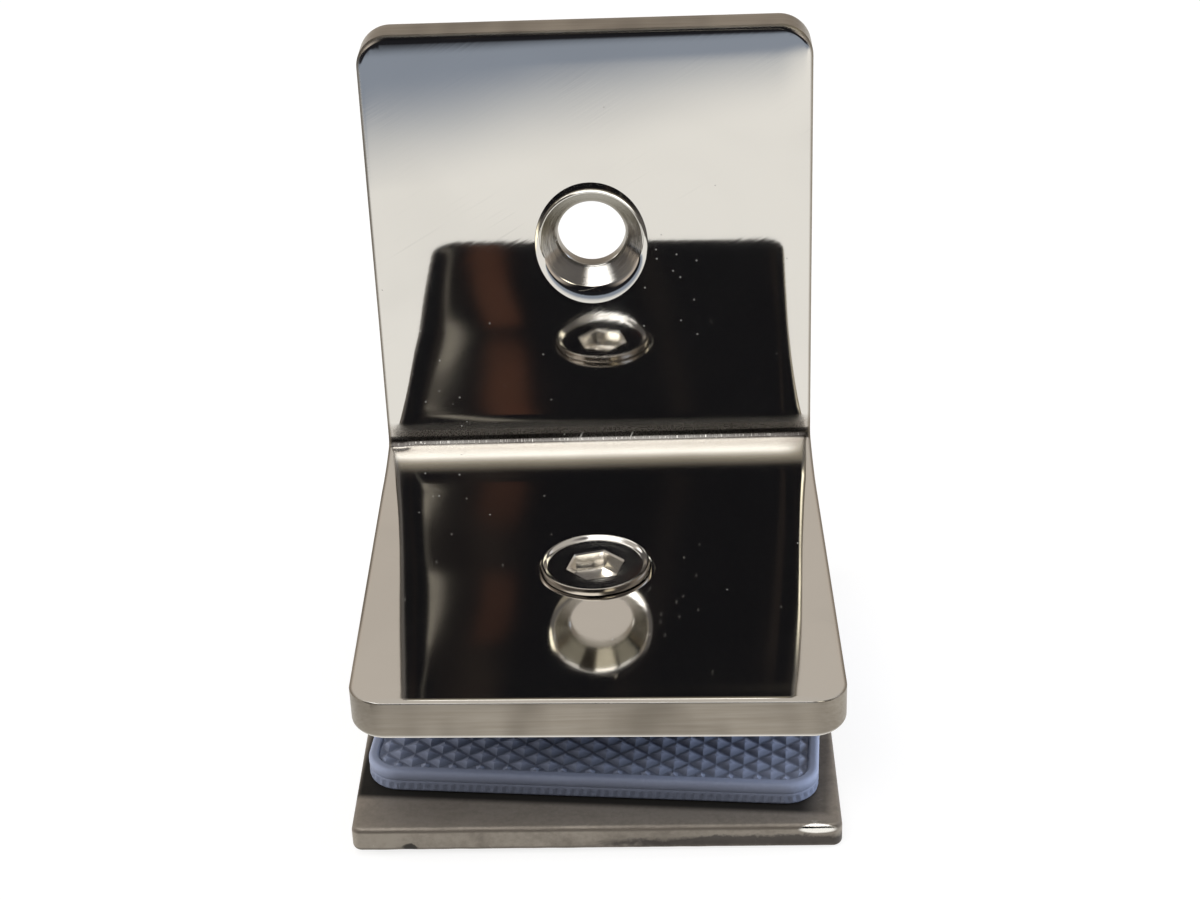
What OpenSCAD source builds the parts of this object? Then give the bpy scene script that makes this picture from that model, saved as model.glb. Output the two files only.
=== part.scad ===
// Glass clamp: a bent bracket that is fixed to a wall by one countersunk screw, and a loose
// plate below it. One socket screw draws the plate up, so that two rubber pads grip a glass pane.
// Millimetres. The origin is the middle of the wall hole, on the wall face. Z is up and the glass is towards -Y.

/* [Bracket] */
// Width of the bracket and of the clamp plate
width = 45; // [38:0.5:60]
// Thickness of the bracket's sheet
plate_t = 3.7; // [3.4:0.1:5]
// Height of the wall leg above the glass leg's upper face
wall_leg_h = 46; // [40:0.5:70]
// Reach of the glass leg in front of the wall leg
glass_leg_d = 48.8; // [40:0.2:70]
// Inside radius of the bend
bend_r = 2.1; // [1:0.1:4]
// Radius of the free corners of both legs
corner_r = 3.3; // [1.5:0.1:6]
// Polished rounding of the bracket's edges
edge_r = 0.55; // [0.2:0.05:1]

/* [Countersunk holes] */
// Diameter of the drilled holes in both legs
hole_d = 7; // [6.4:0.1:7.6]
// Diameter of each countersink where it meets the face
csk_d = 10.8; // [10.4:0.1:12]
// Radius that polishing has put on the lip of each countersink
csk_lip_r = 1.6; // [0.8:0.1:3.2]
// Height of the wall hole above the glass leg's upper face
wall_hole_z = 23.6; // [18:0.1:30]
// Distance of the clamp screw in front of the wall leg
screw_reach = 25.3; // [23:0.1:30]

/* [Clamp screw] */
// Outside diameter of the thread
thread_d = 6; // [5:0.1:6.2]
// Diameter of the head
head_d = 10.6; // [10.2:0.1:11]
// Height of the head's flat top above the glass leg
head_land = 0.25; // [0.1:0.05:0.8]
// Radius of the raised bead round the head
bead_r = 0.22; // [0.14:0.02:0.4]
// Width of the hexagon socket across its flats
hex_af = 5; // [4:0.1:5.2]
// Depth of the hexagon socket
hex_depth = 1.9; // [1:0.1:2]
// Angle at which the socket stands
hex_turn = 15; // [0:1:59]
// Bevel round the mouth of the socket
hex_bevel = 0.1; // [0.05:0.05:0.3]
// Bevel on the screw's tip
tip_bevel = 0.7; // [0.2:0.1:1]
// Distance of the tip inside the clamp plate's under face
tip_inset = 0.15; // [0.05:0.05:0.5]

/* [Clamp plate] */
// Distance of the clamp plate's front edge ahead of the glass leg's
clamp_lead = 1.2; // [0:0.1:3]
// Distance of the clamp plate's back edge in front of the wall leg
clamp_tail = 0.6; // [0:0.1:3]
// Thickness of the clamp plate
clamp_t = 2.5; // [2:0.1:4]
// Radius of the clamp plate's corners
clamp_corner_r = 0.9; // [0.6:0.1:4]
// Rounding of the clamp plate's edges
clamp_edge_r = 0.5; // [0.2:0.05:0.55]

/* [Pads] */
// Distance of the pads' sides inside the clamp plate's sides
pad_side = 1.35; // [1.2:0.05:4]
// Distance of the pads' ends inside the clamp plate's ends
pad_end = 4.4; // [2:0.1:7]
// Thickness of each pad
pad_t = 2.3; // [1.6:0.1:4]
// Radius of the pads' corners
pad_corner_r = 3.3; // [2:0.1:6]
// Rounding of the pads' edges
pad_edge_r = 0.4; // [0.1:0.05:0.6]
// Width of the smooth border round each pad's field
pad_border = 1.7; // [1:0.1:1.9]
// Depth of the field below the border
pad_relief = 0.2; // [0.1:0.05:0.5]
// Diameter of the hole that lets the screw through a pad
pad_hole_d = 8.2; // [8.2:0.1:10]
// Angle at which the lower pad lies on its plate
pad_turn = -4.5; // [-5:0.5:5]
// Distance that the lower pad has slipped sideways on its plate
pad_slip = 0.9; // [-0.9:0.1:0.9]
// Height of the gap that is left for the glass
glass_gap = 4.6; // [3:0.1:10]

/* [Fits] */
// Clearance between the screw's cone and its countersink
seat_gap = 0.05; // [0.02:0.01:0.1]
// Radial clearance of the screw in the clamp plate
thread_gap = 0.05; // [0.02:0.01:0.1]

/* [Hidden] */
$fn = 72;
// How far a cutter runs past the face that it opens
over = 1;
// Heights of the glass leg, and of what hangs below it
leg_top = -wall_hole_z;
leg_bottom = leg_top - plate_t;
upper_pad_bottom = leg_bottom - pad_t;
lower_pad_bottom = upper_pad_bottom - glass_gap - pad_t;
clamp_bottom = lower_pad_bottom - clamp_t;
wall_leg_top = leg_top + wall_leg_h;
// The bend turns about one line, so its outside radius follows from the inside one
bend_out_r = bend_r + plate_t;
screw_y = -plate_t - screw_reach;
clamp_d = glass_leg_d + clamp_lead - clamp_tail;
clamp_y = -plate_t - clamp_tail - clamp_d / 2;
pad_w = width - 2 * pad_side;
pad_d = clamp_d - 2 * pad_end;
// How far the clamp plate's middle, and with it a pad's, lies from the screw
pad_shift = clamp_y - screw_y;
glass_leg_front = plate_t + glass_leg_d;
// The countersink is a right-angled cone, so it goes in as far as it narrows
hole_r = hole_d / 2;
csk_r = csk_d / 2;
csk_depth = csk_r - hole_r;
lip_run = csk_lip_r * tan(22.5);
lip_drop = lip_run * sin(45);
// The screw's cone lies in the countersink's cone, less the clearance square to both
cone_lift = seat_gap / cos(45);
head_r = head_d / 2;
thread_r = thread_d / 2;
head_edge_z = head_r - csk_r + cone_lift;
cone_end_z = thread_r - csk_r + cone_lift;
tip_z = clamp_bottom + tip_inset - leg_top;
hex_r = hex_af / 2 / cos(30);

// A rectangle about the middle with its four corners rounded
module round_rect(w, h, r) {
    square([w - 2 * r, h], center = true);
    square([w, h - 2 * r], center = true);
    for (x = [-1, 1], y = [-1, 1]) {
        translate([x * (w / 2 - r), y * (h / 2 - r)]) circle(r);
    }
}

// Half of a sheet's section, from a line inside it out to its rounded edge
module rim_section(reach, t, r) {
    intersection() {
        translate([0, t / 2]) round_rect(2 * reach, t, r);
        square([reach, t]);
    }
}

// A quarter of a rounded corner, with the edge rounding carried round it
module corner_turn(r, t, edge) {
    rotate_extrude(angle = 90) rim_section(r, t, edge);
}

// One leg of the bracket, lying flat: it starts at the bend and its free end has rounded corners
module leg(length) {
    straight = length - corner_r;
    between = width - 2 * corner_r;
    translate([0, 0, plate_t / 2]) rotate([-90, 0, 0])
        linear_extrude(straight) round_rect(width, plate_t, edge_r);
    translate([-between / 2, straight, 0]) rotate([90, 0, 90])
        linear_extrude(between) rim_section(corner_r, plate_t, edge_r);
    translate([between / 2, straight, 0]) corner_turn(corner_r, plate_t, edge_r);
    translate([-between / 2, straight, 0]) rotate([0, 0, 90]) corner_turn(corner_r, plate_t, edge_r);
}

// The quarter turn between the legs
module bend() {
    rotate([0, 0, -90]) rotate_extrude(angle = 90)
        translate([bend_r + plate_t / 2, 0]) round_rect(plate_t, width, edge_r);
}

// What a drill, a countersink and then polishing take out of a leg, whose face is at zero
module csk_hole() {
    rotate_extrude() {
        polygon([[0, -plate_t - over], [hole_r, -plate_t - over], [hole_r, -csk_depth],
                 [csk_r, 0], [csk_r, over], [0, over]]);
        difference() {
            polygon([[csk_r - lip_drop, -lip_drop], [csk_r + lip_run, 0],
                     [csk_r + lip_run, over], [csk_r - lip_drop, over]]);
            translate([csk_r + lip_run, -csk_lip_r]) circle(csk_lip_r);
        }
    }
}

// A flat plate about the middle, with rounded corners and rounded edges all round
module soft_plate(w, d, t, corner, edge) {
    across = w - 2 * corner;
    along = d - 2 * corner;
    translate([-across / 2, 0, t / 2]) rotate([90, 0, 90])
        linear_extrude(across) round_rect(d, t, edge);
    for (side = [0, 180]) rotate([0, 0, side]) {
        translate([across / 2, along / 2, 0]) rotate([90, 0, 0])
            linear_extrude(along) rim_section(corner, t, edge);
        translate([across / 2, along / 2, 0]) corner_turn(corner, t, edge);
        translate([-across / 2, along / 2, 0]) rotate([0, 0, 90]) corner_turn(corner, t, edge);
    }
}

// One pad with its field upwards, about the screw; shift is where its middle lies from the screw
module pad(shift) {
    difference() {
        translate([0, shift, 0]) soft_plate(pad_w, pad_d, pad_t, pad_corner_r, pad_edge_r);
        translate([0, shift, pad_t - pad_relief]) linear_extrude(over)
            round_rect(pad_w - 2 * pad_border, pad_d - 2 * pad_border, pad_corner_r - pad_border);
        translate([0, 0, -over]) cylinder(h = pad_t + 2 * over, d = pad_hole_d);
    }
}

module bracket() {
    color([0.78, 0.78, 0.77]) difference() {
        union() {
            translate([0, -bend_out_r, leg_bottom + bend_out_r]) rotate([90, 0, 90]) bend();
            translate([0, -bend_out_r, leg_bottom]) rotate([0, 0, 180]) leg(glass_leg_front - bend_out_r);
            translate([0, 0, leg_bottom + bend_out_r]) rotate([90, 0, 0])
                leg(wall_leg_top - leg_bottom - bend_out_r);
        }
        translate([0, -plate_t, 0]) rotate([90, 0, 0]) csk_hole();
        translate([0, screw_y, leg_top]) csk_hole();
    }
}

module upper_pad() {
    color([0.33, 0.38, 0.44]) translate([0, screw_y, leg_bottom]) rotate([180, 0, 0]) pad(-pad_shift);
}

module lower_pad() {
    color([0.36, 0.41, 0.47]) translate([pad_slip, screw_y, lower_pad_bottom])
        rotate([0, 0, pad_turn]) pad(pad_shift);
}

module clamp_plate() {
    color([0.62, 0.58, 0.54]) difference() {
        translate([0, clamp_y, clamp_bottom])
            soft_plate(width, clamp_d, clamp_t, clamp_corner_r, clamp_edge_r);
        translate([0, screw_y, clamp_bottom - over])
            cylinder(h = clamp_t + 2 * over, r = thread_r + thread_gap);
    }
}

module clamp_screw() {
    color([0.7, 0.7, 0.7]) translate([0, screw_y, leg_top]) difference() {
        rotate_extrude() {
            polygon([[0, tip_z], [thread_r - tip_bevel, tip_z], [thread_r, tip_z + tip_bevel],
                     [thread_r, cone_end_z], [head_r, head_edge_z], [head_r, head_land], [0, head_land]]);
            translate([head_r - bead_r, head_land]) circle(bead_r);
        }
        rotate([0, 0, hex_turn]) translate([0, 0, head_land - hex_depth])
            cylinder(h = hex_depth + over, r = hex_r, $fn = 6);
        translate([0, 0, head_land - hex_bevel])
            cylinder(h = 2 * hex_bevel, r1 = hex_r - hex_bevel, r2 = hex_r + hex_bevel);
    }
}

bracket();
upper_pad();
lower_pad();
clamp_plate();
clamp_screw();
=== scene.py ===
"""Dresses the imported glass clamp: its bracket, screw, pads and plate, and a plain stage."""

from math import ceil, cos, exp, hypot, pi, radians, sin, sqrt, tau

import bmesh
import bpy
from bpy.props import FloatProperty, FloatVectorProperty, PointerProperty
from mathutils import Matrix, Vector, noise
from mathutils.geometry import delaunay_2d_cdt


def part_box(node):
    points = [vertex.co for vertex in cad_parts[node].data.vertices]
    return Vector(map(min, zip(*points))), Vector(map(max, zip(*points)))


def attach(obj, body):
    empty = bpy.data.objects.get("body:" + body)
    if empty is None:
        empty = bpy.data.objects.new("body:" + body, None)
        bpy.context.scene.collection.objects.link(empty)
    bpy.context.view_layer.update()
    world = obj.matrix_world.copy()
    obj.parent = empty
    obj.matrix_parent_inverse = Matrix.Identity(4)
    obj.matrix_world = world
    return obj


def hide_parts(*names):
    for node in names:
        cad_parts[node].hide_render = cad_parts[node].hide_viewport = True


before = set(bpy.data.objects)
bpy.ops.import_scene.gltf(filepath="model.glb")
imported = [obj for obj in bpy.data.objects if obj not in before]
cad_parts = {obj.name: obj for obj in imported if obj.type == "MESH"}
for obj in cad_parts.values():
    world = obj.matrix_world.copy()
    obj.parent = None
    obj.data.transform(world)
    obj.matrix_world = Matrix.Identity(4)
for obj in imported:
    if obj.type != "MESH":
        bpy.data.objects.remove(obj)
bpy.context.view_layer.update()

bl_info = {
    "name": "Glass clamp",
    "version": (1, 0, 0),
    "blender": (4, 5, 0),
    "location": "3D View > Sidebar > Glass clamp",
    "description": "Builds the pieces of a wall-fixed glass clamp and the stage it stands on",
    "category": "Add Mesh",
}

MM = 0.001
QUARTER = pi / 2
BRACKET_LO, BRACKET_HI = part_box("bracket")
PLATE_LO, PLATE_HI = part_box("clamp_plate")
SCREW_LO, SCREW_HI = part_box("clamp_screw")
# Lengths are in millimetres from here on, as in all the mesh code
SCREW_Y = (SCREW_LO.y + SCREW_HI.y) / 2 / MM
# Slopes to the right of the glass leg's front and of the loose plate
TWIST, TILT = 0.019, 0.0105
# How far the glass leg's front leans to the right, and how far back its lean and twist reach
SWAY, LEG_REACH = 0.55, 40.0
# How far the upper pad's front lies back
UPPER_PAD_TRIM = 1.8
# Corners of a round hole in the pads and plate, and leeway in telling a face from its holes
ROUND, LEEWAY = 72, 0.001


def length(name, description, default):
    """A size that the sidebar shows in the scene's units."""
    return FloatProperty(name=name, description=description, default=default, min=0.0, precision=5,
                         subtype="DISTANCE", unit="LENGTH")


def colour(name, owner, default):
    """A colour that the sidebar shows as a swatch."""
    return FloatVectorProperty(name=name, description=f"Colour of {owner}", default=default,
                               size=3, min=0.0, max=1.0, subtype="COLOR")


class GlassClampSizes(bpy.types.PropertyGroup):
    """Sizes of the clamp's pieces that the frame's boxes don't give."""

    sheet: length("Sheet", "Thickness of the bracket's sheet", 0.0037)
    bend: length("Bend", "Inside radius of the bend", 0.0007)
    corner: length("Corner", "Radius of the bracket's free corners", 0.0033)
    edge: length("Edge", "Reach of the polished edges over the face", 0.0006)
    edge_drop: length("Edge drop", "Reach of the polished edges down the side", 0.00012)
    bore: length("Bore", "Diameter of the holes in both legs", 0.007)
    countersink: length("Countersink", "Diameter of each countersink at the face", 0.0108)
    lip_across: length("Lip across", "Reach of the wall hole's lip across the leg", 0.00575)
    lip_along: length("Lip along", "Reach of the wall hole's lip along the leg", 0.0070)
    lip_depth: length("Lip depth", "Depth at which the wall hole's lip meets its cone", 0.000367)
    seat_lip: length("Seat lip", "Reach of the fine lip round the clamp screw's head", 0.0059)
    head: length("Head", "Diameter of the screw's head", 0.0106)
    key: length("Key", "Width of the hexagon socket across its flats", 0.005)
    thread: length("Thread", "Outside diameter of the screw's thread", 0.006)
    pitch: length("Pitch", "Rise of the thread in one turn", 0.001)
    plate_corner: length("Plate corner", "Radius of the clamp plate's corners", 0.0009)
    plate_edge: length("Plate edge", "Rounding of the clamp plate's edges", 0.0005)
    pad_width: length("Pad width", "Width of each rubber pad", 0.0423)
    pad_depth: length("Pad depth", "Depth of each rubber pad", 0.0406)
    pad_corner: length("Pad corner", "Radius of the pads' corners", 0.0033)
    pad_border: length("Pad border", "Width of the smooth border round a pad's field", 0.0009)
    diamond: length("Diamond", "Spacing of the grooves in a pad's field", 0.0016)
    pad_turn: FloatProperty(
        name="Pad turn", description="Angle at which the lower pad lies on its plate",
        default=radians(-4.5), subtype="ANGLE", unit="ROTATION")


class GlassClampFinish(bpy.types.PropertyGroup):
    """Colours of the clamp's finishes and of the stage."""

    polish: colour("Polish", "the mirror-polished steel", (0.74, 0.725, 0.695))
    satin: colour("Satin", "the grain left in the bend", (0.36, 0.32, 0.28))
    rim: colour("Rim", "the bracket's satin edges", (0.285, 0.25, 0.205))
    screw: colour("Screw", "the bright screw", (0.64, 0.63, 0.61))
    plate: colour("Plate", "the dull clamp plate", (0.275, 0.245, 0.21))
    # Stain also paints shade on the middle of the clamp plate's rounded edges
    stain: colour("Stain", "the brown blotches on the clamp plate", (0.15, 0.13, 0.11))
    rubber: colour("Rubber", "the pads", (0.150, 0.174, 0.245))
    floor: colour("Floor", "the floor", (1.0, 1.0, 1.0))


class InMillimetres:
    """Reads the sizes in millimetres, the unit of the mesh code, and the pad's turn as it is."""

    def __init__(self, group):
        self._group, self.turn = group, group.pad_turn

    def __getattr__(self, name):
        return getattr(self._group, name) / MM


def maths(operation, turned=False):
    """An operator of shader numbers that adds one Math node; turned makes its reflected form."""

    def operator(*terms):
        ordered = dict(enumerate(terms[::-1] if turned else terms))
        return terms[0].tree.node("ShaderNodeMath", {"operation": operation}, ordered)

    return operator


class Value:
    """One shader number. Sums written with it add Math nodes to its tree."""

    def __init__(self, tree, socket):
        self.tree, self.socket = tree, socket

    __add__ = __radd__ = maths("ADD")
    __mul__ = __rmul__ = maths("MULTIPLY")
    __sub__, __rsub__ = maths("SUBTRACT"), maths("SUBTRACT", turned=True)
    __truediv__, __rtruediv__ = maths("DIVIDE"), maths("DIVIDE", turned=True)
    __pow__, __abs__ = maths("POWER"), maths("ABSOLUTE")
    __lt__, __gt__ = maths("LESS_THAN"), maths("GREATER_THAN")
    least, most = maths("MINIMUM"), maths("MAXIMUM")

    def __neg__(self):
        return self * -1.0

    def ramp(self, low, high):
        """Rises softly from 0 at low to 1 at high, and falls where high is the smaller."""
        return self.tree.node("ShaderNodeMapRange", {"interpolation_type": "SMOOTHSTEP"},
                              {"Value": self, "From Min": low, "From Max": high})


class Tree:
    """A node tree of a material or of the world, written as expressions."""

    def __init__(self, owner):
        owner.use_nodes = True
        self.owner, self.nodes, self.links = owner, owner.node_tree.nodes, owner.node_tree.links
        self.nodes.clear()

    @staticmethod
    def pick(sockets, key):
        """The socket with this number, or else with this identifier or name."""
        if isinstance(key, int):
            return sockets[key]
        return next(s for s in sockets if key in (s.identifier, s.name))

    def node(self, kind, settings=None, inputs=None, out=0):
        """Adds one node: its settings first, then the values or links of its sockets."""
        made = self.nodes.new(kind)
        for name, value in (settings or {}).items():
            setattr(made, name, value)
        for key, value in (inputs or {}).items():
            socket = self.pick(made.inputs, key)
            if isinstance(value, Value):
                self.links.new(value.socket, socket)
            else:
                socket.default_value = (*value, 1.0) if socket.type == "RGBA" else value
        return Value(self, self.pick(made.outputs, out)) if made.outputs else None

    def place(self):
        """The point on the piece in millimetres, as a vector and as its three numbers."""
        metres = self.node("ShaderNodeTexCoord", out="Object")
        point = self.node("ShaderNodeVectorMath", {"operation": "SCALE"},
                          {0: metres, "Scale": 1 / MM})
        return point, *self.parts(point)

    def parts(self, vector):
        made = self.node("ShaderNodeSeparateXYZ", inputs={0: vector})
        return [Value(self, s) for s in made.socket.node.outputs]

    def point(self, x=0.0, y=0.0, z=0.0):
        return self.node("ShaderNodeCombineXYZ", inputs={0: x, 1: y, 2: z})

    def noise(self, point, scale, detail=2.0, roughness=0.5, distortion=0.0):
        return self.node("ShaderNodeTexNoise", inputs={
            "Vector": point, "Scale": scale, "Detail": detail, "Roughness": roughness,
            "Distortion": distortion})

    def mix(self, factor, a, b):
        return self.node("ShaderNodeMix", {"data_type": "RGBA"},
                         {"Factor_Float": factor, "A_Color": a, "B_Color": b}, out="Result_Color")

    def coats(self, base, *layers):
        """Lays colours over a base one after the other, each by its share."""
        for share, tone in layers:
            base = self.mix(share, base, tone)
        return base

    def weights(self, *names):
        return [self.node("ShaderNodeAttribute", {"attribute_name": n}, out="Fac") for n in names]

    def ray(self, kind):
        return self.node("ShaderNodeLightPath", out=f"Is {kind} Ray")

    def bump(self, height, strength, distance):
        return self.node("ShaderNodeBump", inputs={
            "Height": height, "Strength": strength, "Distance": distance * MM})

    def skin(self, base, metallic, roughness, normal, specular=0.5):
        return self.node("ShaderNodeBsdfPrincipled", inputs={
            "Base Color": base, "Metallic": metallic, "Roughness": roughness, "Normal": normal,
            "Specular IOR Level": specular})

    def matt(self, tone):
        return self.node("ShaderNodeBsdfDiffuse", inputs={"Color": tone})

    def light(self, kind, tone, strength=1.0):
        return self.node(kind, inputs={"Color": tone, "Strength": strength})

    def blend(self, factor, a, b):
        return self.node("ShaderNodeMixShader", inputs={0: factor, 1: a, 2: b})

    def surface(self, shader, output="ShaderNodeOutputMaterial"):
        self.node(output, inputs={"Surface": shader})
        return self.owner


class Shell:
    """Gathers the points and faces of one closed piece, in millimetres, and makes its object."""

    def __init__(self):
        self.points, self.faces, self.weights = [], [], {}

    def ring(self, points, **weights):
        first = len(self.points)
        self.points.extend(points)
        made = list(range(first, len(self.points)))
        for name, value in weights.items():
            self.weigh(name, made, value if isinstance(value, list) else [value] * len(made))
        return made

    def weigh(self, name, ids, values):
        self.weights.setdefault(name, {}).update(zip(ids, values))

    def chain(self, rings):
        for a, b in zip(rings, rings[1:]):
            self.faces += [(a[i - 1], a[i], b[i], b[i - 1]) for i in range(len(a))]
        return rings

    def fan(self, loop, centre):
        middle = self.ring([centre])[0]
        self.faces += [(loop[i - 1], loop[i], middle) for i in range(len(loop))]

    def fill(self, loops, inner, put, keep):
        """Meshes a face between loops, each a ring with its (u, v) spots. put() places the inner
        spots, and keep() tells the face from its holes."""
        flat, ids, sides = [], [], []
        for ring, spots in loops:
            first, count = len(flat), len(ring)
            flat += spots
            ids += ring
            sides += [(first + k, first + (k + 1) % count) for k in range(count)]
        added = self.ring([put(u, v) for u, v in inner])
        ids += added
        corners, _, triangles, origin, _, _ = delaunay_2d_cdt(
            [Vector(p) for p in flat + inner], sides, [], 0, 1e-7)
        names = [ids[o[0]] for o in origin]
        for triangle in triangles:
            u, v = sum((corners[k] for k in triangle), Vector((0, 0))) / 3
            if keep(u, v):
                self.faces.append([names[k] for k in triangle])
        return added

    def piece(self, name, material, body, node, sharp=32):
        """Makes the object, which rides on a body and stands for a CAD node."""
        mesh = bpy.data.meshes.new(name)
        mesh.from_pydata([Vector(p) * MM for p in self.points], [], self.faces)
        for weight, values in self.weights.items():
            layer = mesh.attributes.new(weight, "FLOAT", "POINT")
            layer.data.foreach_set("value", [values.get(i, 0.0) for i in range(len(self.points))])
        work = bmesh.new()
        work.from_mesh(mesh)
        open_edges = [e for e in work.edges if len(e.link_faces) != 2]
        if open_edges:
            raise RuntimeError(f"{name} is not closed: {len(open_edges)} open edges")
        bmesh.ops.recalc_face_normals(work, faces=work.faces)
        work.to_mesh(mesh)
        work.free()
        mesh.shade_smooth()
        mesh.set_sharp_from_angle(angle=radians(sharp))
        mesh.materials.append(material)
        made = linked(name, mesh)
        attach(made, body)
        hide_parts(node)


def linked(name, data):
    """A new object in the scene."""
    made = bpy.data.objects.new(name, data)
    bpy.context.scene.collection.objects.link(made)
    return made


def steps(start, end, size):
    """Even stations from start to end, about size apart, both ends included."""
    count = max(1, round((end - start) / size))
    return [start + (end - start) * k / count for k in range(count + 1)]


def ease(t):
    """Rises softly from 0 at 0 to 1 at 1."""
    t = min(1.0, max(0.0, t))
    return t * t * (3 - 2 * t)


def circle(radius, at=0.0, count=96):
    angles = (tau * k / count for k in range(count))
    return [(radius * cos(a), at + radius * sin(a)) for a in angles]


def rounding(radius, count):
    """A rounded edge as (inset, depth) pairs, from the face round to the side."""
    angles = (QUARTER * k / count for k in range(count + 1))
    return [(radius - radius * sin(a), radius - radius * cos(a)) for a in angles]


def round_outline(columns, rows, corner, turns=14):
    """A rounded rectangle as (x, y, out_x, out_y) rows, counter-clockwise from its lower side.
    columns and rows are the stations along its straight sides."""
    left, right, low, high = columns[0], columns[-1], rows[0], rows[-1]
    inside = [x for x in columns if left + corner < x < right - corner]
    upright = [y for y in rows if low + corner < y < high - corner]

    def arc(cx, cy, start):
        angles = [radians(start + 90 * k / turns) for k in range(turns + 1)]
        return [(cx + corner * cos(a), cy + corner * sin(a), cos(a), sin(a)) for a in angles]

    return ([(x, low, 0, -1) for x in inside] + arc(right - corner, low + corner, 270)
            + [(right, y, 1, 0) for y in upright] + arc(right - corner, high - corner, 0)
            + [(x, high, 0, 1) for x in reversed(inside)] + arc(left + corner, high - corner, 90)
            + [(left, y, -1, 0) for y in reversed(upright)] + arc(left + corner, low + corner, 180))


def shrunk(outline, inset):
    return [(x - nx * inset, y - ny * inset) for x, y, nx, ny in outline]


def edge_gap(x, y, half, low, high, corner):
    """How far a point lies inside a rounded rectangle."""
    middle = (low + high) / 2
    dx, dy = abs(x) - half + corner, abs(y - middle) - (high - low) / 2 + corner
    return corner - hypot(max(dx, 0), max(dy, 0)) - min(max(dx, dy), 0)


def out(y):
    """How far out along the glass leg a point lies: 0 near the bend, 1 at the front."""
    return max(0.0, 1 - (y - BRACKET_LO.y / MM) / LEG_REACH)


def twist(x, y):
    """How far the glass leg, which hangs a little to the right, lies above its true level."""
    return -TWIST * x * out(y)


def sway(x, y):
    """How far the glass leg's outline leans to the right; round its hole it stays in line."""
    still, blend = 7, 10
    return SWAY * out(y) * ease((hypot(x, y - SCREW_Y) - still) / blend)


class Fold:
    """The inside face of the bent sheet, from the glass leg's front to the wall leg's top.
    The bend starts slowly, as a pressed bend does, so its angle has a tail on both legs."""

    front_tail, wall_tail = 7.5, 0.8
    front_lean, wall_lean = radians(12), radians(3)
    front_power, wall_power = 1.15, 2
    step = 0.01

    def __init__(self, front, top, leg_z, wall_y, radius):
        self.front, self.leg_z, self.wall_y = front, leg_z, wall_y
        arc = radius * (QUARTER - self.front_lean - self.wall_lean)
        bend = self.front_tail + arc + self.wall_tail
        self.track, y, z = [], 0.0, 0.0
        for k in range(round(bend / self.step) + 1):
            s = k * self.step
            if s < self.front_tail:
                angle = self.front_lean * (s / self.front_tail) ** self.front_power
            elif s < self.front_tail + arc:
                angle = self.front_lean + (s - self.front_tail) / radius
            else:
                left = max(0.0, bend - s) / self.wall_tail
                angle = QUARTER - self.wall_lean * left ** self.wall_power
            self.track.append((angle, y, z))
            y, z = y + self.step * cos(angle), z + self.step * sin(angle)
        self.start = wall_y - self.track[-1][1] - front
        self.end = self.start + bend
        self.wall_z = leg_z + self.track[-1][2]
        self.length = self.end + top - self.wall_z

    def put(self, x, s, n):
        """The point at x across, s along the inside face and n below it."""
        if s <= self.start:
            y = self.front + s
            return x + sway(x, y), y, self.leg_z - n + twist(x, y)
        if s >= self.end:
            return x, self.wall_y + n, self.wall_z + s - self.end
        at = (s - self.start) / self.step
        k = min(int(at), len(self.track) - 2)
        angle, y, z = (a + (b - a) * (at - k) for a, b in zip(self.track[k], self.track[k + 1]))
        return x, self.front + self.start + y + n * sin(angle), self.leg_z + z - n * cos(angle)

    def turned(self, s):
        """The bend's angle at s, as a share of the quarter turn."""
        k = int((s - self.start) / self.step)
        return self.track[min(max(k, 0), len(self.track) - 1)][0] / QUARTER


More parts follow.
